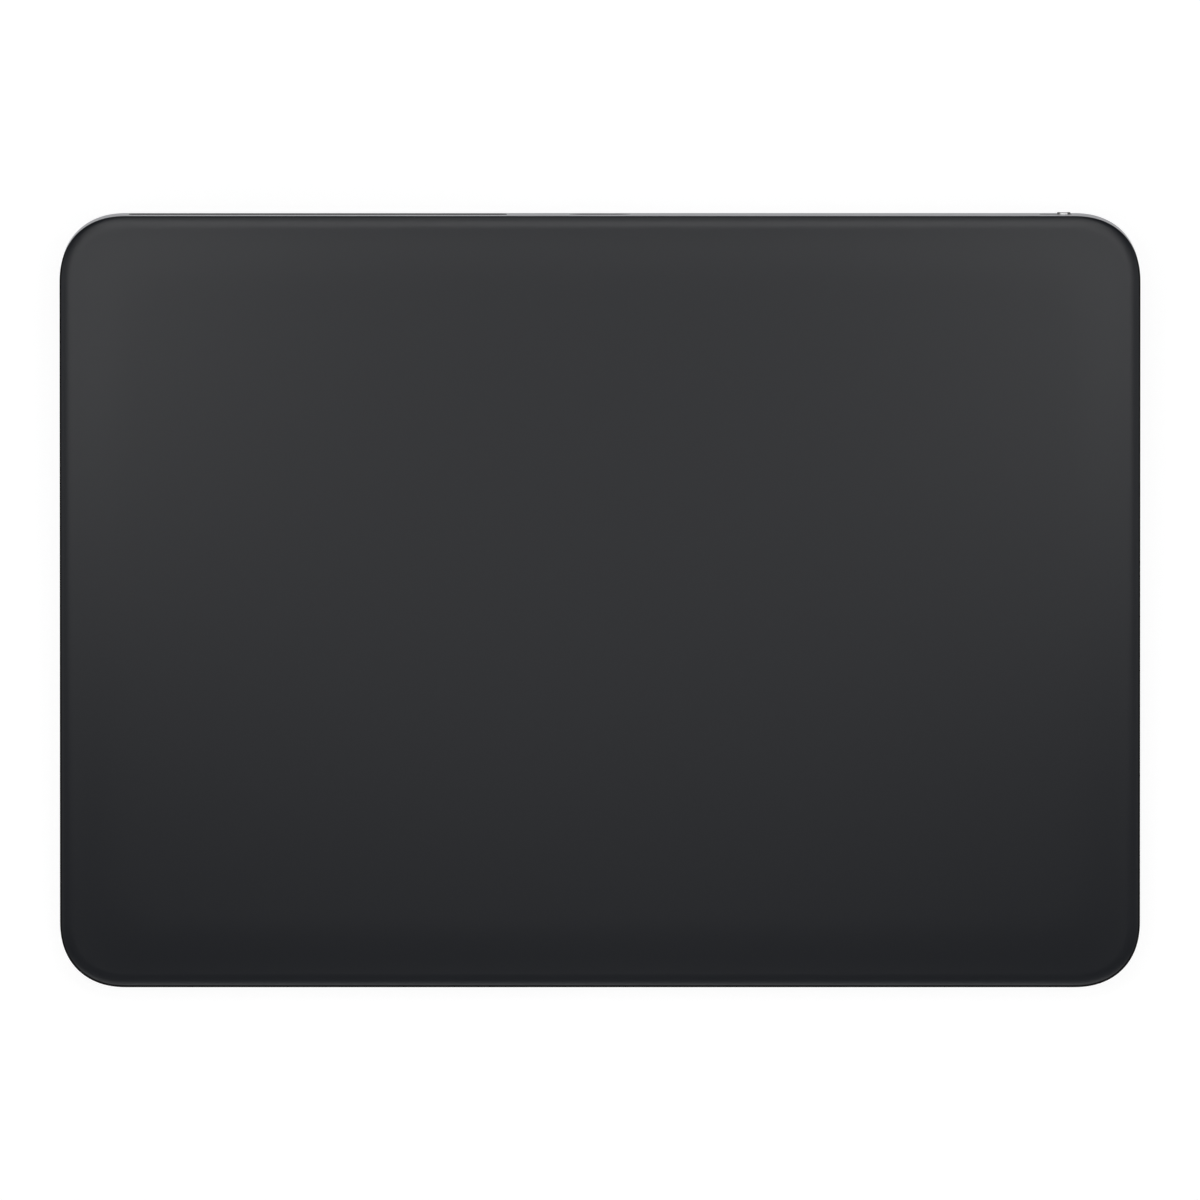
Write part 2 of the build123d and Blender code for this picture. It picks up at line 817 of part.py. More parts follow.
def force_beam(side, end):
    root = Pos(beam_outer - beam_root / 2, beam_place) * Rectangle(beam_root, beam_width)
    neck_start = beam_outer - beam_root
    taper = Polyline(
        (neck_start, beam_place - beam_width / 2),
        (neck_start, beam_place + beam_width / 2),
        (neck_start - beam_reach / 2, beam_place + beam_neck_width / 2),
        (beam_tip, beam_place + beam_neck_width / 2),
        (beam_tip, beam_place - beam_neck_width / 2),
        (neck_start - beam_reach / 2, beam_place - beam_neck_width / 2),
        close=True,
    )
    shape = root + make_face(taper) + Pos(beam_tip, beam_place) * Circle(beam_tip_radius)
    if side < 0:
        shape = mirror(shape, about=Plane.YZ)
    if end < 0:
        shape = mirror(shape, about=Plane.XZ)
    beam = extrude(deck * Pos(0, 0, -beam_under) * shape, amount=beam_thickness)
    return beam - plate_holes(deck, beam_seats, beam_thickness)


def strain_gauges():
    x = beam_outer - beam_root - gauge_reach
    size = (gauge_length, gauge_width, gauge_thickness)
    return [slab(deck, (side * x, end * beam_place, -beam_top), size) for side, end in corner_signs]


def force_flex():
    # Runs along the side wall on the floor, with a tail up to each beam and a branch to the board
    x, y = force_connector_place(1)
    top = floor_top + flex_thickness
    reach = beam_place + flex_width / 2
    flex = block((beam_outer, -reach, floor_top), (beam_outer + flex_width, reach, top))
    branch = haptic_rear + (board_front_gap - flex_width) / 2
    flex += block((x - flex_width / 2, branch, floor_top), (beam_outer, branch + flex_width, top))
    flex += block((x - flex_width / 2, branch, floor_top),
                  (x + flex_width / 2, y + force_connector[1] / 2, top))
    for end in (-1, 1):
        middle = deck_y(end * beam_place, beam_top)
        high = deck_z(end * beam_place, beam_top) - flex_width * sin(tilt)
        flex += block((beam_outer, middle - flex_width / 2, floor_top),
                      (beam_outer + flex_thickness, middle + flex_width / 2, high))
    return flex


def load_pads():
    under = -stack_depth - gel_thickness - load_pad_thickness
    return [disc(deck, (side * beam_tip, end * beam_place, under), load_pad_radius, load_pad_thickness)
            for side, end in corner_signs]


def gel_isolators():
    under = -stack_depth - gel_thickness
    return [disc(deck, (side * beam_tip, end * beam_place, under), gel_radius, gel_thickness)
            for side, end in corner_signs]


# Glass and what is bonded under it

def touch_glass():
    rings = []
    for step in range(glass_roll_steps + 1):
        angle = step / glass_roll_steps * pi / 2
        drop = glass_roll_drop * (1 - sin(angle))
        rings.append(deck * Pos(0, 0, -drop) * outline(glass_roll_width * (1 - cos(angle))))
    rolled = loft(rings, ruled=True)
    side_height = glass_thickness - glass_roll_drop
    side = extrude(deck * Pos(0, 0, -glass_thickness) * outline(0), amount=side_height)
    return rolled + side


def stiffener_plate():
    plate = deck_plate(stiffener_inset, sensor_under, stiffener_thickness)
    window = (stiffener_window_width, stiffener_window_length, stack_depth)
    return plate - slab(deck, (0, stiffener_window_place, -stack_depth), window)


def touch_chips():
    place = touch_plug_rear + touch_chip_gap + touch_chip[1] / 2
    under = -sensor_under - touch_chip[2]
    return [slab(deck, (side * touch_chip_side, place, under), touch_chip) for side in (-1, 1)]


def touch_connector():
    place = (touch_socket_side, touch_plug_front + touch_plug[1] / 2, -sensor_under - touch_plug[2])
    return slab(deck, place, touch_plug)


def touch_flex():
    low = board_top + touch_socket[2]
    front = board_front + touch_socket_place - touch_socket[1] / 2
    rear = front + touch_socket[1]
    depth = sensor_under + touch_plug[2] + flex_thickness
    points = [(front, low), (rear + flex_bend, low)]
    points += [(deck_y(touch_plug_front - flex_bend, depth), deck_z(touch_plug_front - flex_bend, depth))]
    points += [(deck_y(touch_plug_rear, depth), deck_z(touch_plug_rear, depth))]
    return ribbon(Plane.YZ.offset(touch_socket_side), points, touch_plug[0] - 2 * flex_thickness)


# Writing the pieces

def both_sides(shape):
    return [shape, mirror(shape, about=Plane.YZ)]


def pieces():
    made = {
        "base_shell": base_shell(),
        "perimeter_gasket": perimeter_gasket(),
        "antenna_window": antenna_window(),
        "antenna_board": antenna_board(),
        "antenna_flex": antenna_flex(),
        "connector_shell": connector_shell(),
        "connector_tongue": connector_tongue(),
        "connector_contacts": connector_contacts(),
        "port_board": port_board(),
        "port_bracket": port_bracket(),
        "port_screws": [screw(level, seat, port_screw_reach) for seat in port_seats],
        "port_flex": port_flex(),
        "switch_knob": switch_knob(),
        "switch_carriage": switch_carriage(),
        "switch_indicator": switch_indicator(),
        "switch_frame": switch_frame(),
        "switch_board": switch_board(),
        "switch_screws": [screw(level, seat, switch_screw_reach) for seat in switch_seats],
        "switch_flex": switch_flex(),
        "logic_board": logic_board(),
        "shield_can_large": shield_can(large_can, large_can_place),
        "shield_can_small": shield_can(small_can, small_can_place),
        "logic_chips": logic_chips(),
        "board_connectors": board_connectors(),
        "board_screws": [screw(level, seat, board_screw_reach) for seat in board_seats],
        "haptic_base": haptic_base(),
        "haptic_core": haptic_core(),
        "haptic_coils": haptic_coils(),
        "haptic_screws": [screw(deck, seat, haptic_screw_reach) for seat in haptic_seats],
        "haptic_flex": haptic_flex(),
        "strain_gauges": strain_gauges(),
        "beam_screws": [screw(deck, seat, beam_screw_reach) for seat in beam_seats],
        "load_pads": load_pads(),
        "gel_isolators": gel_isolators(),
        "touch_glass": touch_glass(),
        "glass_bond": deck_plate(bond_inset, glass_thickness, bond_thickness),
        "touch_sensor_board": deck_plate(sensor_inset, sensor_depth, sensor_thickness),
        "stiffener_plate": stiffener_plate(),
        "attraction_rail": attraction_rail(),
        "touch_chips": touch_chips(),
        "touch_connector": touch_connector(),
        "touch_flex": touch_flex(),
    }
    for side, end in corner_signs:
        corner = f"{end_names[end]}_{side_names[side]}"
        made[f"foot_{corner}"] = foot(foot_places()[(side, end)])
        made[f"force_beam_{corner}"] = force_beam(side, end)
    pairs = {"battery_cell": battery_cell(), "battery_flex": battery_flex(), "force_flex": force_flex()}
    for name, shape in pairs.items():
        right, left = both_sides(shape)
        made[f"{name}_right"] = right
        made[f"{name}_left"] = left
    made["battery_protection_boards"] = both_sides(battery_protection_board())
    made["battery_tabs"] = [half for tab in battery_tabs() for half in both_sides(tab)]
    made["battery_adhesive"] = [half for strip in battery_adhesive() for half in both_sides(strip)]
    return made


os.makedirs("parts", exist_ok=True)
for name, shape in pieces().items():
    node = Compound(shape) if isinstance(shape, list) else shape
    node.label = name
    export_step(node, f"parts/{name}.step")
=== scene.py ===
import json
from math import asin, cos, pi, radians, sin

import bmesh
import bpy
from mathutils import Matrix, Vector


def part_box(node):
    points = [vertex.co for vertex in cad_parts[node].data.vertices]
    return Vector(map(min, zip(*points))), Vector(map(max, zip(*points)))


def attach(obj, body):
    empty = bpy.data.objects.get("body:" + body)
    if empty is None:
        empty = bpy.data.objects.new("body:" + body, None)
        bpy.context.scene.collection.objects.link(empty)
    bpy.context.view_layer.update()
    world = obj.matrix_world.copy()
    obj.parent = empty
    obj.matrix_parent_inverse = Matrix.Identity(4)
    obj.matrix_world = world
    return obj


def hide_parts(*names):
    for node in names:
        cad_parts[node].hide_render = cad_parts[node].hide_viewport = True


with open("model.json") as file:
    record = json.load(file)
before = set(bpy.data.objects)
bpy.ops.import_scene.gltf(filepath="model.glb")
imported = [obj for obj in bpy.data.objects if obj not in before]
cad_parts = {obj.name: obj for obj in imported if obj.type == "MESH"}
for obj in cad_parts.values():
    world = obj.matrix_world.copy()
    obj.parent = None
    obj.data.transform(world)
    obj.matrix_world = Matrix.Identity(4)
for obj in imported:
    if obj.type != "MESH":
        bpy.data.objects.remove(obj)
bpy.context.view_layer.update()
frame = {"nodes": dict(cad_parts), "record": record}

mm = 0.001
hair = 0.001 * mm    # ends that are nearer than this count as level
scene = bpy.context.scene
scene.view_settings.view_transform = "Standard"

# The wedge: glass and shell share one outline, square to the sloping glass
pad = {
    "width": 160 * mm,
    "length": 114.4 * mm,     # along the slope
    "frontHeight": 5 * mm,
    "rearHeight": 11 * mm,
    "cornerReach": 9.866 * mm,
    "cornerFullness": 0.5415,  # a little squarer than a circle
    "cornerSteps": 24,
    "footHeight": 0.6 * mm,
    "bottomRound": 1 * mm,
    "featureHeight": 4.8 * mm,  # middle of what sits in the rear wall
}
tilt = asin((pad["rearHeight"] - pad["frontHeight"]) / pad["length"])
deckMiddle = (pad["frontHeight"] + pad["rearHeight"]) / 2
# half of the rear wall's lean, so that the pad as a whole is centred
deckShift = -(pad["rearHeight"] - pad["footHeight"] - pad["bottomRound"]) * sin(tilt) / 2


def rearFace(height):
    # how far back the rear wall is at a height over the desk
    edge = pad["length"] / 2
    depth = (deckMiddle + edge * sin(tilt) - height) / cos(tilt)
    return deckShift + edge * cos(tilt) + depth * sin(tilt)


rearPlace = (0, rearFace(pad["featureHeight"]), pad["featureHeight"])


# Small hand tools

def only(piece):
    bpy.ops.object.select_all(action="DESELECT")
    piece.select_set(True)
    bpy.context.view_layer.objects.active = piece


def settle(piece, place=(0, 0, 0), turn=0):
    # turns the piece about X, puts it in its place and leaves that in the mesh
    piece.rotation_euler = (turn, 0, 0)
    piece.location = place
    only(piece)
    bpy.ops.object.transform_apply(location=True, rotation=True, scale=True)
    return piece


def justAdded(name):
    # names the new piece and leaves its place and size in the mesh
    piece = bpy.context.object
    piece.name = piece.data.name = name
    only(piece)
    bpy.ops.object.transform_apply(location=True, rotation=True, scale=True)
    return piece


def block(name, low, high):
    bpy.ops.object.select_all(action="DESELECT")
    middle = [(a + b) / 2 for a, b in zip(low, high)]
    size = [b - a for a, b in zip(low, high)]
    bpy.ops.mesh.primitive_cube_add(size=1, location=middle, scale=size)
    return justAdded(name)


def rod(name, place, radius, height, sides=64):
    # a round bar that stands on its place
    bpy.ops.object.select_all(action="DESELECT")
    middle = (place[0], place[1], place[2] + height / 2)
    bpy.ops.mesh.primitive_cylinder_add(vertices=sides, radius=radius, depth=height,
                                        location=middle)
    return justAdded(name)


def openMesh(piece):
    only(piece)
    bpy.ops.object.mode_set(mode="EDIT")


def closeMesh():
    bpy.ops.object.mode_set(mode="OBJECT")
    putInOrder(bpy.context.object.data)


def putInOrder(data):
    # numbers a bare mesh by place: editing can number it anew on each run, and the cuts follow
    places = [tuple(point.co) for point in data.vertices]
    order = sorted(range(len(places)), key=places.__getitem__)
    number = {old: new for new, old in enumerate(order)}
    faces = []
    for face in data.polygons:
        around = [number[old] for old in face.vertices]
        first = around.index(min(around))
        faces.append(around[first:] + around[:first])
    data.clear_geometry()
    data.from_pydata([places[old] for old in order], [], sorted(faces))


def pickFaces(wanted):
    bpy.ops.mesh.select_mode(type="FACE")
    bpy.ops.mesh.select_all(action="DESELECT")
    data = bpy.context.edit_object.data
    mesh = bmesh.from_edit_mesh(data)
    for face in mesh.faces:
        if wanted(face.calc_center_median(), face.normal):
            face.select_set(True)
    bmesh.update_edit_mesh(data)


def facing(axis, way=1):
    # faces that look along an axis, or against it
    return lambda middle, normal: way * normal[axis] > 0.9


def pickEdges(wanted):
    bpy.ops.mesh.select_mode(type="EDGE")
    bpy.ops.mesh.select_all(action="DESELECT")
    data = bpy.context.edit_object.data
    mesh = bmesh.from_edit_mesh(data)
    for edge in mesh.edges:
        if wanted(edge.verts[0].co, edge.verts[1].co):
            edge.select_set(True)
    bmesh.update_edit_mesh(data)


def roundOff(offset, steps, fullness=0.5):
    bpy.ops.mesh.bevel(offset=offset, segments=steps, profile=fullness,
                       affect="EDGES", clamp_overlap=False)


def runsAlong(axis):
    # edges that run along one axis only
    others = [number for number in range(3) if number != axis]
    return lambda a, b: all(abs(a[number] - b[number]) < hair for number in others)


def heldAt(axis, level):
    # edges with both ends at one level
    return lambda a, b: all(abs(end[axis] - level) < 2 * hair for end in (a, b))


def carve(piece, tool, how="DIFFERENCE"):
    # cuts the tool out of the piece, or joins it on, and uses the tool up
    only(piece)
    change = piece.modifiers.new("carve", "BOOLEAN")
    change.operation, change.solver, change.object = how, "EXACT", tool
    bpy.ops.object.modifier_apply(modifier=change.name)
    bpy.data.objects.remove(tool)


def smooth(piece, angle=30):
    # soft shading that keeps the broad flat faces flat
    only(piece)
    bpy.ops.object.shade_smooth_by_angle(angle=radians(angle))
    weights = piece.modifiers.new("weights", "WEIGHTED_NORMAL")
    weights.keep_sharp = True
    bpy.ops.object.modifier_apply(modifier=weights.name)


def outlineBlock(name, inset, top, bottom):
    # the outline as a block, still level, with depths measured from the glass plane
    across, along = pad["width"] / 2 - inset, pad["length"] / 2 - inset
    piece = block(name, (-across, -along, -bottom), (across, along, -top))
    openMesh(piece)
    pickEdges(runsAlong(2))
    roundOff(pad["cornerReach"] - inset, pad["cornerSteps"], pad["cornerFullness"])
    closeMesh()
    return piece


def tilted(piece):
    return settle(piece, (0, deckShift, deckMiddle), tilt)


def cutOffBelow(piece, height):
    # saws the piece level at a height, drops what is below and closes the cut
    openMesh(piece)
    bpy.ops.mesh.select_all(action="SELECT")
    bpy.ops.mesh.bisect(plane_co=(0, 0, height), plane_no=(0, 0, 1), use_fill=True,
                        clear_inner=True)
    closeMesh()


def mouthTool(name, width, height, corner, depth, flare, steps=8):
    # a cutter that faces +Y, its mouth flared for the small chamfer round an opening
    wide, tall = width / 2, height / 2
    tool = block(name, (-wide, -depth, -tall), (wide, -flare, tall))
    openMesh(tool)
    pickEdges(runsAlong(1))
    roundOff(corner, steps)
    pickFaces(facing(1))
    grow = 4 * flare  # at 45 degrees, twice the flare on each side
    bpy.ops.mesh.extrude_region_move(TRANSFORM_OT_translate={"value": (0, 2 * flare, 0)})
    bpy.ops.transform.resize(value=(1 + grow / width, 1, 1 + grow / height))
    closeMesh()
    return tool


# Node tools: a wire carries a value, and sums written with wires become nodes

class Wire:
    def __init__(self, paint, socket):
        self.paint, self.socket = paint, socket

    def work(self, how, *values):
        return self.paint.node("ShaderNodeMath", {"operation": how}, dict(enumerate(values)))

    def __add__(self, other):
        return self.work("ADD", self, other)

    def __radd__(self, other):
        return self.work("ADD", other, self)

    def __sub__(self, other):
        return self.work("SUBTRACT", self, other)

    def __rsub__(self, other):
        return self.work("SUBTRACT", other, self)

    def __mul__(self, other):
        return self.work("MULTIPLY", self, other)

    def __truediv__(self, other):
        return self.work("DIVIDE", self, other)


class Paint:
    def __init__(self, name):
        self.material = bpy.data.materials.new(name)
        self.material.use_nodes = True
        self.tree = self.material.node_tree
        self.tree.nodes.clear()
        self.place = self.node("ShaderNodeTexCoord", output="Object")

    def node(self, kind, settings=None, inputs=None, output=0):
        made = self.tree.nodes.new(kind)
        for name, value in (settings or {}).items():
            setattr(made, name, value)
        for name, value in (inputs or {}).items():
            if isinstance(value, Wire):
                self.tree.links.new(value.socket, made.inputs[name])
            else:
                made.inputs[name].default_value = value
        return Wire(self, made.outputs[output])

    def stretched(self, scale):
        return self.node("ShaderNodeVectorMath", {"operation": "MULTIPLY"},
                         {0: self.place, 1: scale})

    def noise(self, size, detail=2, stretch=(1, 1, 1)):
        # a cloud whose lumps are about that size
        where = self.stretched(stretch) if stretch != (1, 1, 1) else self.place
        return self.node("ShaderNodeTexNoise", {},
                         {"Vector": where, "Scale": 1 / size, "Detail": detail})

    def cells(self, size, feature="F1"):
        return self.node("ShaderNodeTexVoronoi", {"feature": feature},
                         {"Vector": self.place, "Scale": 1 / size})

    def along(self, axis):
        return self.node("ShaderNodeSeparateXYZ", {}, {0: self.place}, axis)

    def lines(self, axis, pitch, share):
        # 1 on a line, 0 between the lines
        spot = self.along(axis) / pitch
        part = spot.work("FRACT", spot)
        return part.work("LESS_THAN", part, share)

    def ramp(self, value, start, end):
        # 0 at the start level, 1 at the end level, eased in between
        return self.node("ShaderNodeMapRange", {"interpolation_type": "SMOOTHSTEP"},
                         {0: value, 1: start, 2: end})

    def tint(self, share, first, second):
        return self.node("ShaderNodeMix", {"data_type": "RGBA"}, {0: share, 6: first, 7: second}, 2)

    def bump(self, height, distance):
        return self.node("ShaderNodeBump", {},
                         {"Height": height, "Distance": distance, "Strength": 1.0})

    def show(self, surface):
        # the end of the tree, which the renderer reads
        out = self.tree.nodes.new("ShaderNodeOutputMaterial")
        self.tree.links.new(surface.socket, out.inputs["Surface"])
        return self.material

    def finish(self, **sockets):
        names = {
            "color": "Base Color", "roughness": "Roughness", "metallic": "Metallic",
            "ior": "IOR", "edgeTint": "Specular Tint", "coat": "Coat Weight",
            "subsurface": "Subsurface Weight", "normal": "Normal",
        }
        inputs = {names[key]: value for key, value in sockets.items()}
        return self.show(self.node("ShaderNodeBsdfPrincipled", {}, inputs))


def shade(red, green, blue):
    return (red, green, blue, 1)


def grey(level, blue=1.0):
    return (level, level, level * blue, 1)


print("tools ready")


# Finishes, one function for each of the record's material slots

glassLook = {
    "color": shade(0.001, 0.0022, 0.005),
    "roughness": 0.31,
    "ior": 1.4,
    "grain": 0.07 * mm,
    "grainHeight": 0.0006 * mm,
    "grainSpread": 0.05,      # how far the grain moves the roughness
    "cloud": 30 * mm,
    "cloudSpread": 0.012,
}


def etchedGlass(paint):
    # black print seen through glass that is etched to a very fine matt
    grain = paint.noise(glassLook["grain"], 3)
    cloud = paint.noise(glassLook["cloud"], 2)
    rough = glassLook["roughness"] + (grain - 0.5) * glassLook["grainSpread"]
    rough = rough + (cloud - 0.5) * glassLook["cloudSpread"]
    return paint.finish(color=glassLook["color"], roughness=rough, ior=glassLook["ior"],
                        normal=paint.bump(grain, glassLook["grainHeight"]))


def groundEdge(paint):
    # the ground rim of the glass, black like the glass, and made dull as painted shade along the
    # edge that turns away
    stone = paint.noise(0.05 * mm, 3)
    color = paint.tint(stone, grey(0.003), grey(0.006))
    return paint.finish(color=color, roughness=0.6 + stone * 0.1, ior=1.12,
                        normal=paint.bump(stone, 0.002 * mm))


def blackFilm(paint):
    cloud = paint.noise(4 * mm, 4)
    color = paint.tint(cloud, grey(0.012), grey(0.03))
    return paint.finish(color=color, roughness=0.45 + cloud * 0.2,
                        normal=paint.bump(cloud, 0.01 * mm))


def sensorLaminate(paint):
    # solder mask over a grid of sensing lines
    pitch, share = 4.8 * mm, 0.08
    columns, rows = paint.lines("X", pitch, share), paint.lines("Y", pitch, share)
    grid = columns.work("MAXIMUM", columns, rows)
    weave = paint.noise(0.5 * mm, 2)
    color = paint.tint(grid, shade(0.012, 0.035, 0.022), shade(0.03, 0.075, 0.045))
    return paint.finish(color=color, roughness=0.42 + weave * 0.12, coat=0.3,
                        normal=paint.bump(grid + weave * 0.3, 0.02 * mm))


def plainAluminium(paint):
    # rolled sheet, the fine lines of rolling along X
    rolled = paint.noise(0.25 * mm, 4, (0.02, 1, 1))
    color = paint.tint(rolled, grey(0.5, 1.02), grey(0.62, 1.03))
    return paint.finish(color=color, metallic=1.0, roughness=0.3 + rolled * 0.16,
                        normal=paint.bump(rolled, 0.003 * mm))


aluminiumLook = {
    "dark": shade(0.46, 0.465, 0.48),
    "light": shade(0.53, 0.535, 0.55),
    "edge": shade(0.42, 0.42, 0.435),
    "roughness": 0.36,
    "bead": 0.09 * mm,
    "dentDepth": 0.006 * mm,
}


def blastedAluminium(paint):
    # bead-blasted and clear anodised: small shallow dents all over
    dents = paint.cells(aluminiumLook["bead"])
    fine = paint.noise(0.05 * mm, 3)
    cloud = paint.noise(9 * mm, 3)
    mottle = cloud * 0.4 + fine * 0.6
    color = paint.tint(mottle, aluminiumLook["dark"], aluminiumLook["light"])
    rough = aluminiumLook["roughness"] + fine * 0.08 + (cloud - 0.5) * 0.03
    return paint.finish(color=color, metallic=1.0, roughness=rough, edgeTint=aluminiumLook["edge"],
                        normal=paint.bump(dents + fine * 0.5, aluminiumLook["dentDepth"]))


def shadedCutAluminium(paint):
    # where a cutter went through the wall: darker as painted shade inside the openings, with the
    # cutter's fine lines
    feed = paint.noise(0.03 * mm, 3, (0.3, 0.05, 1))
    color = paint.tint(feed, grey(0.2, 1.04), grey(0.3, 1.04))
    return paint.finish(color=color, metallic=1.0, roughness=0.34 + feed * 0.12,
                        normal=paint.bump(feed, 0.001 * mm))


def springSteel(paint):
    # ground sheet, its scratches along X
    ground = paint.noise(0.2 * mm, 4, (0.03, 1, 1))
    color = paint.tint(ground, grey(0.4), grey(0.56))
    return paint.finish(color=color, metallic=1.0, roughness=0.22 + ground * 0.18,
                        normal=paint.bump(ground, 0.003 * mm))


def tinSteel(paint):
    # dull tin plate, mottled, with a few hair scratches
    mottle = paint.noise(1.2 * mm, 5)
    hairs = paint.ramp(paint.noise(0.6 * mm, 2, (0.05, 1, 0.4)), 0.62, 0.7)
    color = paint.tint(mottle, grey(0.52, 0.98), grey(0.7, 0.98))
    return paint.finish(color=color, metallic=1.0, roughness=0.28 + mottle * 0.16 + hairs * 0.1,
                        normal=paint.bump(mottle * 0.5 - hairs * 0.3, 0.004 * mm))


def screwSteel(paint):
    plated = paint.noise(0.15 * mm, 4)
    color = paint.tint(plated, shade(0.3, 0.31, 0.33), shade(0.48, 0.49, 0.5))
    return paint.finish(color=color, metallic=1.0, roughness=0.26 + plated * 0.16,
                        normal=paint.bump(plated, 0.004 * mm))


def coreIron(paint):
    # stacked sheets: the edges of the laminations run round the sides
    sheets = paint.lines("Z", 0.2 * mm, 0.18)
    scale = paint.noise(0.8 * mm, 4)
    color = paint.tint(scale, grey(0.06), grey(0.15))
    return paint.finish(color=color, metallic=1.0, roughness=0.45 + scale * 0.2,
                        normal=paint.bump(scale * 0.3 - sheets, 0.012 * mm))


def copperWire(paint):
    # enamelled turns, side by side along Y
    wire = 0.14 * mm
    turn = paint.along("Y") * (2 * pi / wire)
    crown = turn.work("SINE", turn)
    age = paint.noise(1.5 * mm, 3)
    # crown paints each turn lighter on its crown as a painted highlight and darker in the groove
    # between turns as painted shade
    bright = age * 0.6 + crown * 0.15 + 0.1
    color = paint.tint(bright, shade(0.32, 0.1, 0.04), shade(0.72, 0.3, 0.14))
    return paint.finish(color=color, metallic=1.0, roughness=0.24 + age * 0.1,
                        normal=paint.bump(crown, 0.02 * mm))


def goldContact(paint):
    wiped = paint.noise(0.1 * mm, 3, (1, 0.05, 1))
    color = paint.tint(wiped, shade(0.72, 0.5, 0.2), shade(0.86, 0.65, 0.32))
    return paint.finish(color=color, metallic=1.0, roughness=0.16 + wiped * 0.14,
                        normal=paint.bump(wiped, 0.001 * mm))


def socketPlastic(paint):
    spark = paint.noise(0.08 * mm, 3)
    color = paint.tint(spark, grey(0.015), grey(0.035))
    return paint.finish(color=color, roughness=0.4 + spark * 0.15,
                        normal=paint.bump(spark, 0.004 * mm))


windowLook = {
    "dark": shade(0.028, 0.028, 0.031),
    "light": shade(0.042, 0.042, 0.046),
    "roughness": 0.56,
    "ior": 1.13,
}


def windowPlastic(paint):
    # moulded and lightly sparked, with a trace of flow along its length
    spark = paint.noise(0.06 * mm, 3)
    flow = paint.noise(12 * mm, 2, (0.3, 1, 1))
    color = paint.tint(spark * 0.7 + flow * 0.3, windowLook["dark"], windowLook["light"])
    return paint.finish(color=color, roughness=windowLook["roughness"] + spark * 0.1,
                        ior=windowLook["ior"], normal=paint.bump(spark, 0.003 * mm))


def boardLaminate(paint):
    # solder mask with tracks under it and a scatter of small plated holes
    weave = paint.noise(0.35 * mm, 2)
    ground = paint.cells(2.2 * mm, "DISTANCE_TO_EDGE")
    track = paint.ramp(ground, 0.10, 0.06)
    hole = paint.ramp(paint.cells(1.6 * mm), 0.12, 0.09)
    mask = paint.tint(track, shade(0.008, 0.03, 0.018), shade(0.018, 0.06, 0.034))
    color = paint.tint(hole, mask, shade(0.6, 0.48, 0.25))
    return paint.finish(color=color, roughness=0.34 + weave * 0.1, metallic=hole, coat=0.25,
                        normal=paint.bump(track * 0.6 + weave * 0.2 - hole * 0.8, 0.02 * mm))


def chipEpoxy(paint):
    filler = paint.noise(0.06 * mm, 3)
    flow = paint.noise(3 * mm, 3)
    color = paint.tint(filler * 0.6 + flow * 0.4, grey(0.018), grey(0.045, 1.05))
    return paint.finish(color=color, roughness=0.5 + filler * 0.15,
                        normal=paint.bump(filler, 0.005 * mm))


def flexFilm(paint, across="X"):
    # amber film with copper tracks laid along it
    track = paint.lines(across, 0.5 * mm, 0.5)
    haze = paint.noise(1.5 * mm, 3)
    film = paint.tint(haze, shade(0.16, 0.06, 0.012), shade(0.26, 0.11, 0.025))
    color = paint.tint(track * 0.75, film, shade(0.42, 0.17, 0.05))
    return paint.finish(color=color, roughness=0.3 + haze * 0.12, coat=0.3,
                        normal=paint.bump(track, 0.012 * mm))


def flexFilmAcross(paint):
    return flexFilm(paint, "Y")


def cellFoil(paint):
    # pouch foil, pressed flat but a little creased
    crease = paint.cells(5 * mm, "SMOOTH_F1")
    fine = paint.noise(0.8 * mm, 4)
    color = paint.tint(crease * 0.6 + fine * 0.4, grey(0.06, 1.06), grey(0.13, 1.06))
    return paint.finish(color=color, metallic=0.6, roughness=0.34 + fine * 0.14,
                        normal=paint.bump(crease + fine * 0.15, 0.12 * mm))


def adhesiveTape(paint):
    fibre = paint.noise(0.3 * mm, 4, (1, 0.2, 1))
    color = paint.tint(fibre, grey(0.56, 0.96), grey(0.72, 0.97))
    return paint.finish(color=color, roughness=0.6 + fibre * 0.1,
                        normal=paint.bump(fibre, 0.02 * mm))


def gasketFoam(paint):
    cells = paint.cells(0.22 * mm)
    color = paint.tint(cells, grey(0.006), grey(0.02))
    return paint.finish(color=color, roughness=0.75 + cells * 0.1,
                        normal=paint.bump(cells, 0.05 * mm))


def footRubber(paint):
    # moulded silicone that has picked up a trace of dust
    skin = paint.noise(0.1 * mm, 3)
    dust = paint.ramp(paint.noise(1.6 * mm, 5), 0.55, 0.75)
    color = paint.tint(skin * 0.4 + dust * 0.5, grey(0.13, 1.03), grey(0.2, 1.03))
    return paint.finish(color=color, roughness=0.55 + dust * 0.14,
                        normal=paint.bump(skin, 0.01 * mm))


def dampingGel(paint):
    cloud = paint.noise(0.9 * mm, 3)
    color = paint.tint(cloud, shade(0.26, 0.27, 0.3), shade(0.4, 0.41, 0.45))
    return paint.finish(color=color, roughness=0.2 + cloud * 0.15, subsurface=0.3,
                        normal=paint.bump(cloud, 0.03 * mm))


knobLook = {
    "middle": 68.7 * mm,      # of the knob at rest
    # bright is the painted highlight of the middle, dark the painted shade at the ends
    "bright": grey(0.43),
    "dark": grey(0.12),
    "brightReach": 0.42 * mm,
    "fade": 0.3 * mm,
    "uneven": 0.1 * mm,       # how ragged the edge of the painted highlight is
}


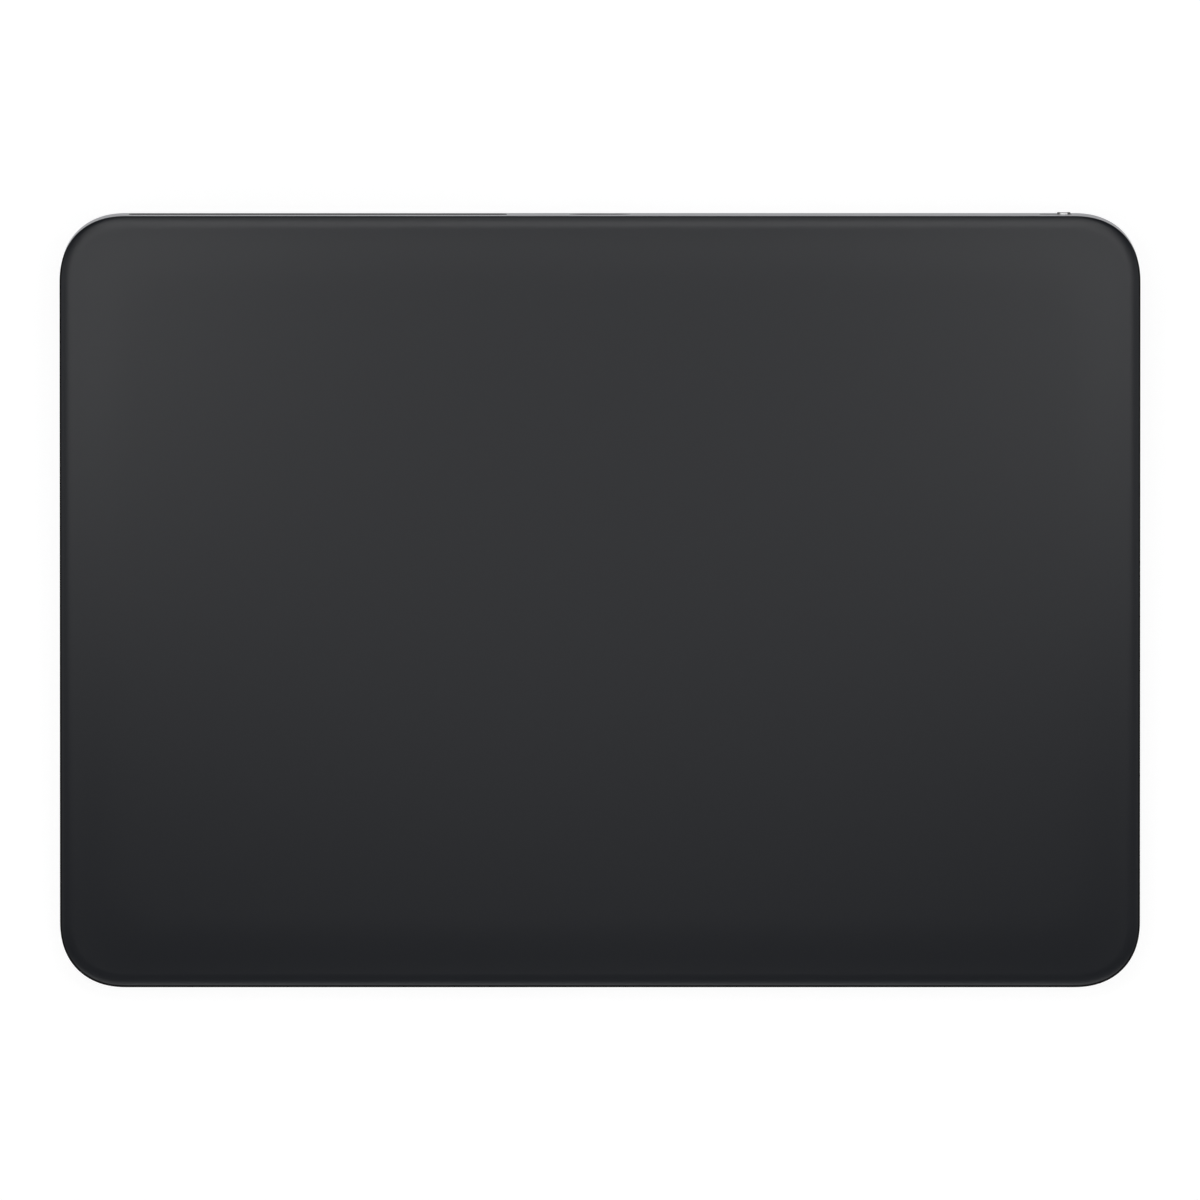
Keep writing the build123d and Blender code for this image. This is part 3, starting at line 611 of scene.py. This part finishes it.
def sliderPlastic(paint):
    # metallised plastic, painted bright in the middle as a highlight and dark at both ends as
    # painted shade from the slot
    spark = paint.noise(0.07 * mm, 3)
    across = paint.along("X") - knobLook["middle"]
    away = across.work("ABSOLUTE", across) + spark * knobLook["uneven"]
    # 1 in the painted highlight of the middle, 0 in the painted shade at both ends
    paintedLight = paint.ramp(away, knobLook["brightReach"] + knobLook["fade"], knobLook["brightReach"])
    color = paint.tint(paintedLight, knobLook["dark"], knobLook["bright"])
    return paint.finish(color=color, metallic=1.0, roughness=0.36 - paintedLight * 0.06 + spark * 0.08,
                        normal=paint.bump(spark, 0.002 * mm))


def indicatorGreen(paint):
    spark = paint.noise(0.07 * mm, 3)
    color = paint.tint(spark, shade(0.03, 0.38, 0.07), shade(0.05, 0.5, 0.11))
    return paint.finish(color=color, roughness=0.36 + spark * 0.12,
                        normal=paint.bump(spark, 0.003 * mm))


finishes = {
    "etched_glass": etchedGlass,
    "ground_edge": groundEdge,
    "black_film": blackFilm,
    "sensor_laminate": sensorLaminate,
    "plain_aluminium": plainAluminium,
    "blasted_aluminium": blastedAluminium,
    "shaded_cut_aluminium": shadedCutAluminium,
    "spring_steel": springSteel,
    "tin_steel": tinSteel,
    "screw_steel": screwSteel,
    "core_iron": coreIron,
    "copper_wire": copperWire,
    "gold_contact": goldContact,
    "socket_plastic": socketPlastic,
    "window_plastic": windowPlastic,
    "board_laminate": boardLaminate,
    "chip_epoxy": chipEpoxy,
    "flex_film": flexFilm,
    "flex_film_across": flexFilmAcross,
    "cell_foil": cellFoil,
    "adhesive_tape": adhesiveTape,
    "gasket_foam": gasketFoam,
    "foot_rubber": footRubber,
    "damping_gel": dampingGel,
    "slider_plastic": sliderPlastic,
    "indicator_green": indicatorGreen,
}
materials = {name: make(Paint(name)) for name, make in finishes.items()}
print("finishes mixed:", len(materials))


def coat(piece, name):
    piece.data.materials.clear()
    piece.data.materials.append(materials[name])


# The CAD nodes take the finish of their slot; flexes that run across get their tracks along X
runAcross = ("battery_flex_left", "battery_flex_right", "switch_flex")
slotOf = {part["node"]: part["material_slot"] for part in frame["record"]["subparts"]}
for name, node in frame["nodes"].items():
    coat(node, "flex_film_across" if name in runAcross else slotOf[name])
print("cad nodes dressed:", len(slotOf))


def present(piece, body, slot, *nodes):
    # a finished piece: painted, riding on its body, standing for its nodes
    coat(piece, slot)
    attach(piece, body)
    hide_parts(*nodes)
    print("made", piece.name, "with", len(piece.data.polygons), "faces")


def coatSome(piece, name, wanted):
    # a second finish on the faces that are picked
    piece.data.materials.append(materials[name])
    piece.active_material_index = len(piece.data.materials) - 1
    openMesh(piece)
    pickFaces(wanted)
    bpy.ops.object.material_slot_assign()
    bpy.ops.object.mode_set(mode="OBJECT")  # not closeMesh, which would drop the finishes


# Glass: a flat plate whose edge rolls over in a quarter of an ellipse

glass = {
    "thickness": 1.1 * mm,
    "rollWidth": 2.2 * mm,
    "rollDrop": 0.55 * mm,
    "rollSteps": 36,
    "camberWidth": 8 * mm,    # the top eases down a hair before it rolls over
    "camberDrop": 0.13 * mm,
    "camberSteps": 12,
    "camberFullness": 0.8,
    "groundEdge": 0.12 * mm,
    "groundSteps": 2,
    "rimSlope": 0.935,        # faces that turn away more than this are the ground rim
    "rearEase": 0.35,         # the rim's painted shade is narrower at the rear, where the edge catches light from behind
}


def onRim(middle, normal):
    # the sides and the part of the roll that has turned away
    return normal.z < glass["rimSlope"] - glass["rearEase"] * max(0, normal.y)


def makeGlass():
    piece = outlineBlock("glass_plate", 0, glass["rollDrop"], glass["thickness"])
    openMesh(piece)
    pickFaces(facing(2))
    inset = rise = 0  # up and in over the rolled edge
    for step in range(1, glass["rollSteps"] + 1):
        angle = step / glass["rollSteps"] * pi / 2
        nextInset = glass["rollWidth"] * (1 - cos(angle))
        nextRise = (glass["rollDrop"] - glass["camberDrop"]) * sin(angle)
        bpy.ops.mesh.inset(thickness=nextInset - inset, depth=nextRise - rise)
        inset, rise = nextInset, nextRise
    eased = 0  # then on over the camber
    wide, long = pad["width"] / 2 - inset, pad["length"] / 2 - inset
    reach = glass["camberWidth"] / glass["camberSteps"]
    for step in range(1, glass["camberSteps"] + 2):  # the last step is flat
        share = min(1, step / glass["camberSteps"]) ** glass["camberFullness"]
        nextEased = share * share * (3 - 2 * share)
        lift = glass["camberDrop"] * (nextEased - eased)
        bpy.ops.mesh.extrude_region_move(TRANSFORM_OT_translate={"value": (0, 0, lift)})
        bpy.ops.transform.resize(value=(1 - reach / wide, 1 - reach / long, 1))
        wide, long, eased = wide - reach, long - reach, nextEased
    pickEdges(heldAt(2, -glass["thickness"]))
    roundOff(glass["groundEdge"], glass["groundSteps"])
    closeMesh()
    tilted(piece)
    smooth(piece)
    present(piece, "touch_top", "etched_glass", "touch_glass")
    # the dull rim is painted shade on the faces that turn away
    coatSome(piece, "ground_edge", onRim)


makeGlass()


# Lower shell: a pocketed tub with a rebated rim, openings in its rear wall, posts and foot recesses

shell = {
    "rimDepth": 1.55 * mm,    # glass plane to the rim
    "wall": 1.8 * mm,
    "floor": 0.8 * mm,
    "rimChamfer": 0.15 * mm,
    "rimSteps": 2,
    "rebateWidth": 0.9 * mm,
    "rebateDepth": 0.3 * mm,
    "reach": 20 * mm,         # how far the blank and its tools run on
    "bottomSteps": 6,
}
posts = {
    "radius": 1.8 * mm,
    "boreRadius": 0.77 * mm,
    "boreSides": 24,
    "beamAcross": 65.65 * mm,   # the four blocks that carry the beams, square to the glass
    "beamAlong": 42.5 * mm,
    "beamWidth": 7 * mm,
    "beamLength": 8 * mm,
    "beamDepth": 3.5 * mm,      # glass plane to the top of the block
    "beamBore": 2.1 * mm,
    "beamBoreGap": 4.2 * mm,    # between the two bores of a block
    "hapticAcross": 35.6 * mm,
    "hapticAlong": -14 * mm,
    "hapticOffset": 6.6 * mm,
    "hapticDepth": 4.75 * mm,
    "hapticBore": 0.7 * mm,
    "level": [                  # x, y, height and bore of those that stand upright
        (12.8 * mm, 5.998 * mm, 2.42 * mm, 0.8 * mm),
        (12.8 * mm, 41.933 * mm, 2.42 * mm, 0.8 * mm),
        (-12.8 * mm, 5.998 * mm, 2.42 * mm, 0.8 * mm),
        (-12.8 * mm, 41.933 * mm, 2.42 * mm, 0.8 * mm),
        (7.47 * mm, 52.4 * mm, 2.42 * mm, 1.0 * mm),
        (-7.47 * mm, 52.4 * mm, 2.42 * mm, 1.0 * mm),
        (71.5 * mm, 51.414 * mm, 2.0 * mm, 0.7 * mm),
        (67.5 * mm, 51.414 * mm, 2.0 * mm, 0.7 * mm),
    ],
}
openings = {
    "slotLeft": 65.2 * mm,
    "slotRight": 69.8 * mm,
    "slotHeight": 1.9 * mm,
    "slotCorner": 0.3 * mm,
    "windowLeft": -69.8 * mm,
    "windowRight": -13.8 * mm,
    "windowHeight": 3.8 * mm,
    "windowCorner": 1 * mm,
    "socketWidth": 9.04 * mm,
    "socketHeight": 3.26 * mm,
    "socketSteps": 16,
    "roundEnd": 0.999,        # of half the height, so that the ends come out fully round
    "chamfer": 0.1 * mm,
    "groove": 0.06 * mm,      # round the window, half of it on each side
    "footAcross": 66 * mm,
    "footAlong": 44.2 * mm,
    "footRadius": 5 * mm,
    "footRecess": 0.3 * mm,
    "footFit": 0.02 * mm,
    "footSides": 96,
}


def pocketTool():
    # the hollow of the tub, with the rebate for the gasket as a wider top
    inset = shell["wall"] - shell["rebateWidth"]
    above = -mm  # from over the glass plane, so that no skin is left
    rebate = outlineBlock("rebate", inset, above, shell["rimDepth"] + shell["rebateDepth"])
    openMesh(rebate)
    pickFaces(facing(2, -1))
    bpy.ops.mesh.inset(thickness=shell["rebateWidth"], depth=0)
    bpy.ops.mesh.extrude_region_move(TRANSFORM_OT_translate={"value": (0, 0, -shell["reach"])})
    closeMesh()
    tilted(rebate)
    cutOffBelow(rebate, pad["footHeight"] + shell["floor"])
    return rebate


def screwBore(x, y, top, run):
    # twice the run of the thread, so it opens at the top
    return rod("bore", (x, y, top - run), posts["boreRadius"], 2 * run, posts["boreSides"])


def beamPost(x, y):
    # a block for one beam, with its two screw bores
    wide, deep, top = posts["beamWidth"] / 2, posts["beamLength"] / 2, -posts["beamDepth"]
    low = (x - wide, y - deep, top - shell["reach"])
    post = tilted(block("post", low, (x + wide, y + deep, top)))
    gap = posts["beamBoreGap"] / 2
    return post, [tilted(screwBore(x, y + way * gap, top, posts["beamBore"])) for way in (-1, 1)]


def hapticPost(x, y):
    # a round post for one corner of the haptic engine, with its bore
    top = -posts["hapticDepth"]
    post = tilted(rod("post", (x, y, top - shell["reach"]), posts["radius"], shell["reach"]))
    return post, [tilted(screwBore(x, y, top, posts["hapticBore"]))]


def shellPosts():
    standing, bores = [], []
    for side in (-1, 1):
        for end in (-1, 1):
            beam = beamPost(side * posts["beamAcross"], end * posts["beamAlong"])
            haptic = hapticPost(side * posts["hapticAcross"],
                                posts["hapticAlong"] + end * posts["hapticOffset"])
            for post, holes in (beam, haptic):
                standing.append(post)
                bores.extend(holes)
    for x, y, top, run in posts["level"]:
        standing.append(rod("post", (x, y, 0), posts["radius"], top))
        bores.append(screwBore(x, y, top, run))
    for post in standing:
        cutOffBelow(post, pad["footHeight"] + shell["floor"] / 2)
    return standing, bores


def inOpening(middle, normal):
    # the cut walls and chamfers of the slot and the socket's opening
    onWall = facing(1)(middle, normal)
    if onWall or middle.y < rearPlace[1] - shell["wall"]:
        return False
    around = 2 * openings["chamfer"]
    height = abs(middle.z - rearPlace[2]) - around
    inSlot = openings["slotLeft"] - around < middle.x < openings["slotRight"] + around
    inSocket = abs(middle.x) < openings["socketWidth"] / 2 + around
    return (inSlot and height < openings["slotHeight"] / 2
            or inSocket and height < openings["socketHeight"] / 2)


def cutRearWall(piece):
    slotWidth = openings["slotRight"] - openings["slotLeft"]
    slotMiddle = openings["slotLeft"] + slotWidth / 2
    slotTool = mouthTool("slotTool", slotWidth, openings["slotHeight"], openings["slotCorner"],
                         2 * shell["wall"], openings["chamfer"])
    carve(piece, settle(slotTool, (slotMiddle, rearPlace[1], rearPlace[2])))
    windowWidth = openings["windowRight"] - openings["windowLeft"]
    windowMiddle = openings["windowLeft"] + windowWidth / 2
    windowTool = mouthTool("windowTool", windowWidth, openings["windowHeight"],
                           openings["windowCorner"], 2 * shell["wall"], openings["groove"])
    carve(piece, settle(windowTool, (windowMiddle, rearPlace[1], rearPlace[2]), tilt))
    socketCorner = openings["socketHeight"] / 2 * openings["roundEnd"]
    socketTool = mouthTool("socketTool", openings["socketWidth"], openings["socketHeight"],
                           socketCorner, 2 * shell["wall"], openings["chamfer"],
                           openings["socketSteps"])
    carve(piece, settle(socketTool, rearPlace))


def cutFootRecesses(piece):
    radius = openings["footRadius"] + openings["footFit"]
    height = pad["footHeight"] + openings["footRecess"]
    for side in (-1, 1):
        for end in (-1, 1):
            place = (side * openings["footAcross"], end * openings["footAlong"], 0)
            carve(piece, rod("recess", place, radius, height, openings["footSides"]))


def makeShell():
    piece = outlineBlock("lower_shell", 0, shell["rimDepth"], shell["reach"])
    openMesh(piece)
    pickEdges(heldAt(2, -shell["rimDepth"]))
    roundOff(shell["rimChamfer"], shell["rimSteps"])
    closeMesh()
    tilted(piece)
    cutOffBelow(piece, pad["footHeight"])
    openMesh(piece)
    pickEdges(heldAt(2, pad["footHeight"]))
    roundOff(pad["bottomRound"], shell["bottomSteps"])
    closeMesh()
    carve(piece, pocketTool())
    standing, bores = shellPosts()
    for post in standing:
        carve(piece, post, "UNION")
    for bore in bores:
        carve(piece, bore)
    cutRearWall(piece)
    cutFootRecesses(piece)
    smooth(piece)
    present(piece, "housing", "blasted_aluminium", "base_shell")
    # painted shade: the walls and chamfers of the openings take the darker cut finish
    coatSome(piece, "shaded_cut_aluminium", inOpening)


makeShell()


# Antenna window: a moulded plug that fills its opening flush, with a lip behind the wall

window = {
    "lip": 0.8 * mm,
    "endLip": 0.2 * mm,
    "lipThickness": 0.5 * mm,
    "cornerSteps": 10,
    "edge": 0.06 * mm,
    "edgeSteps": 2,
}


def makeWindow():
    width = openings["windowRight"] - openings["windowLeft"]
    height = openings["windowHeight"]
    back = -shell["wall"]
    piece = block("antenna_cover", (-width / 2, back, -height / 2), (width / 2, 0, height / 2))
    openMesh(piece)
    pickEdges(runsAlong(1))
    roundOff(openings["windowCorner"], window["cornerSteps"])
    pickEdges(heldAt(1, 0))
    roundOff(window["edge"], window["edgeSteps"])
    closeMesh()
    wide, high = width / 2 + window["endLip"], height / 2 + window["lip"]
    lip = block("lip", (-wide, back - window["lipThickness"], -high), (wide, back, high))
    openMesh(lip)
    pickEdges(runsAlong(1))
    roundOff(openings["windowCorner"], window["cornerSteps"])
    closeMesh()
    carve(piece, lip, "UNION")
    settle(piece, (openings["windowLeft"] + width / 2, rearPlace[1], rearPlace[2]), tilt)
    smooth(piece)
    present(piece, "housing", "window_plastic", "antenna_window")


makeWindow()


# Charging socket: a drawn steel sleeve with a rolled mouth

socket = {
    "width": 8.94 * mm,
    "height": 3.16 * mm,
    "wall": 0.3 * mm,
    "length": 7.35 * mm,
    "cavity": 6.3 * mm,
    "lipRound": 0.1 * mm,
    "lipSteps": 3,
    "proud": 0.05 * mm,       # as far out as the wall it sits in
}


def makeSocket():
    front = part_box("connector_shell")[1].y + socket["proud"]
    wide, tall = socket["width"] / 2, socket["height"] / 2
    middle = pad["featureHeight"]
    low = (-wide, front - socket["length"], middle - tall)
    piece = block("socket_sleeve", low, (wide, front, middle + tall))
    openMesh(piece)
    pickEdges(runsAlong(1))
    roundOff(tall * openings["roundEnd"], openings["socketSteps"])
    pickFaces(facing(1))
    bpy.ops.mesh.inset(thickness=socket["wall"], depth=0)
    bpy.ops.mesh.extrude_region_move(TRANSFORM_OT_translate={"value": (0, -socket["cavity"], 0)})
    pickEdges(heldAt(1, front))
    roundOff(socket["lipRound"], socket["lipSteps"])
    closeMesh()
    smooth(piece, 40)
    present(piece, "housing", "tin_steel", "connector_shell")


makeSocket()


# Switch knob: a small moulded block with rounded ends

knob = {
    "endRound": 0.5 * mm,
    "endSteps": 10,
    "edgeRound": 0.12 * mm,
    "edgeSteps": 3,
    "proud": 0.16 * mm,       # a hair further out than the solid it stands for
}


def makeKnob():
    low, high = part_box("switch_knob")
    outer = high.y + knob["proud"]
    piece = block("slider_knob", low, (high.x, outer, high.z))
    openMesh(piece)
    pickEdges(runsAlong(1))
    roundOff(knob["endRound"], knob["endSteps"])
    pickEdges(heldAt(1, outer))
    roundOff(knob["edgeRound"], knob["edgeSteps"])
    closeMesh()
    smooth(piece)
    present(piece, "switch_slider", "slider_plastic", "switch_knob")


makeKnob()


# Feet: soft discs with a fine ring pressed into the sole

foot = {
    "round": 0.2 * mm,
    "roundSteps": 4,
    "ringInset": 0.9 * mm,
    "ringWidth": 0.25 * mm,
    "ringDepth": 0.06 * mm,
}


def makeFeet():
    # one foot, pressed and rounded at the middle of the desk, then a copy for each corner
    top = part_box("foot_front_left")[1].z
    first = rod("sole", (0, 0, 0), openings["footRadius"], top, openings["footSides"])
    openMesh(first)
    pickEdges(heldAt(2, 0))
    roundOff(foot["round"], foot["roundSteps"])
    pickFaces(lambda middle, normal: middle.z < hair)
    bpy.ops.mesh.inset(thickness=foot["ringInset"], depth=0)
    bpy.ops.mesh.inset(thickness=foot["ringWidth"] / 2, depth=-foot["ringDepth"])
    bpy.ops.mesh.inset(thickness=foot["ringWidth"] / 2, depth=foot["ringDepth"])
    closeMesh()
    smooth(first)
    across, along = openings["footAcross"], openings["footAlong"]
    for end, y in (("front", -along), ("rear", along)):
        for side, x in (("left", -across), ("right", across)):
            only(first)
            bpy.ops.object.duplicate(linked=False)
            piece = bpy.context.object
            piece.name = piece.data.name = f"sole_{end}_{side}"
            settle(piece, (x, y, 0))
            present(piece, "housing", "foot_rubber", f"foot_{end}_{side}")
    bpy.data.objects.remove(first)


makeFeet()


# Floor, light and camera

studio = {
    "floorSize": 30,
    "floorColor": grey(0.86),
    "seenColor": grey(0.2),   # what the camera sees of the floor: part shadow, part glow
    "seenGlow": grey(0.86),
    "skyStrength": 0.2,
    "frameWidth": 177.69 * mm,  # of what the photo shows at the level of the glass
    "lens": 1200,
    "sensor": 36,
    "farClip": 100,
    "centreShift": 0.075 * mm,  # from the middle of the pad to the middle of the photo
    "lean": 0.55,             # degrees to the rear, so the strip there has its width in the photo
    "deckHeight": 8 * mm,
}


def makeFloor():
    bpy.ops.object.select_all(action="DESELECT")
    bpy.ops.mesh.primitive_plane_add(size=studio["floorSize"], location=(0, 0, 0))
    floor = bpy.context.object
    floor.name = "floor"
    paint = Paint("floor")
    body = paint.node("ShaderNodeBsdfDiffuse", {}, {"Color": studio["floorColor"]})
    glow = paint.node("ShaderNodeEmission", {}, {"Color": studio["seenGlow"], "Strength": 1.0})
    path = paint.node("ShaderNodeLightPath", output="Is Camera Ray")
    shiny = paint.node("ShaderNodeLightPath", output="Is Glossy Ray")
    clear = paint.node("ShaderNodeLightPath", output="Is Transmission Ray")
    seen = path + shiny + clear
    faint = paint.node("ShaderNodeBsdfDiffuse", {}, {"Color": studio["seenColor"]})
    pale = paint.node("ShaderNodeAddShader", {}, {0: faint, 1: glow})
    mixed = paint.node("ShaderNodeMixShader", {}, {0: seen, 1: body, 2: pale})
    below = paint.node("ShaderNodeNewGeometry", output="Backfacing")
    hole = paint.node("ShaderNodeBsdfTransparent")
    whole = paint.node("ShaderNodeMixShader", {}, {0: below, 1: mixed, 2: hole})
    material = paint.show(whole)
    material.cycles.emission_sampling = "NONE"  # the glow is only seen, it isn't a lamp
    floor.data.materials.append(material)


def lamp(name, place, aim, size, radiance):
    # a soft box whose power follows from the brightness of its face
    bpy.ops.object.select_all(action="DESELECT")
    bpy.ops.object.light_add(type="AREA", location=place)
    light = bpy.context.object
    light.name = name
    light.rotation_euler = (Vector(aim) - Vector(place)).to_track_quat("-Z", "Y").to_euler()
    light.data.shape = "RECTANGLE"
    light.data.size, light.data.size_y = size
    light.data.energy = pi * size[0] * size[1] * radiance
    light.visible_camera = False


def makeSky():
    world = bpy.data.worlds.new("studio")
    scene.world = world
    world.use_nodes = True
    background = world.node_tree.nodes["Background"]
    background.inputs["Color"].default_value = grey(1)
    background.inputs["Strength"].default_value = studio["skyStrength"]


boxHeight = 0.35  # the small boxes over the pad all hang level at this height
lamps = {  # place, aim, size and brightness of each, in metres
    "middleBox": ((0, -0.03, boxHeight), (0, -0.03, 0), (0.14, 0.1), 1.3),
    "middleRearBox": ((0, 0.095, boxHeight), (0, 0.095, 0), (0.2, 0.05), 4.9),
    "leftBox": ((-0.11, 0.02, boxHeight), (-0.11, 0.02, 0), (0.06, 0.1), 4.2),
    "rightBox": ((0.11, 0.02, boxHeight), (0.11, 0.02, 0), (0.06, 0.1), 4.2),
    "leftRearBox": ((-0.11, 0.145, boxHeight), (-0.11, 0.145, 0), (0.06, 0.05), 5.7),
    "rightRearBox": ((0.11, 0.145, boxHeight), (0.11, 0.145, 0), (0.06, 0.05), 5.7),
    "rearPanel": ((0, 0.285, boxHeight), (0, 0.285, 0), (0.2, 0.23), 1.5),
    "leftWing": ((-0.3, -0.005, boxHeight), (-0.3, -0.005, 0), (0.2, 0.15), 0.9),
    "rightWing": ((0.3, -0.005, boxHeight), (0.3, -0.005, 0), (0.2, 0.15), 0.9),
    "frontStrip": ((0, -0.51, 0.61), (0, 0, 0), (1.2, 0.14), 3.2),
    "leftFill": ((-1, 0, 0.6), (0, 0, 0), (1, 0.8), 0.6),
    "rightFill": ((1, 0, 0.6), (0, 0, 0), (1, 0.8), 0.6),
}


def makeCamera():
    # all but straight down, with so long a lens that next to no perspective is left
    bpy.ops.object.select_all(action="DESELECT")
    away = studio["frameWidth"] / studio["sensor"] * studio["lens"]
    lean = radians(studio["lean"])
    place = (0, studio["centreShift"] + away * sin(lean), studio["deckHeight"] + away * cos(lean))
    bpy.ops.object.camera_add(location=place, rotation=(-lean, 0, 0))
    camera = bpy.context.object
    camera.data.lens = studio["lens"]
    camera.data.sensor_width = studio["sensor"]
    camera.data.clip_end = studio["farClip"]
    scene.camera = camera


makeFloor()
makeSky()
for name, (place, aim, size, radiance) in lamps.items():
    lamp(name, place, aim, size, radiance)
makeCamera()
print("studio ready")
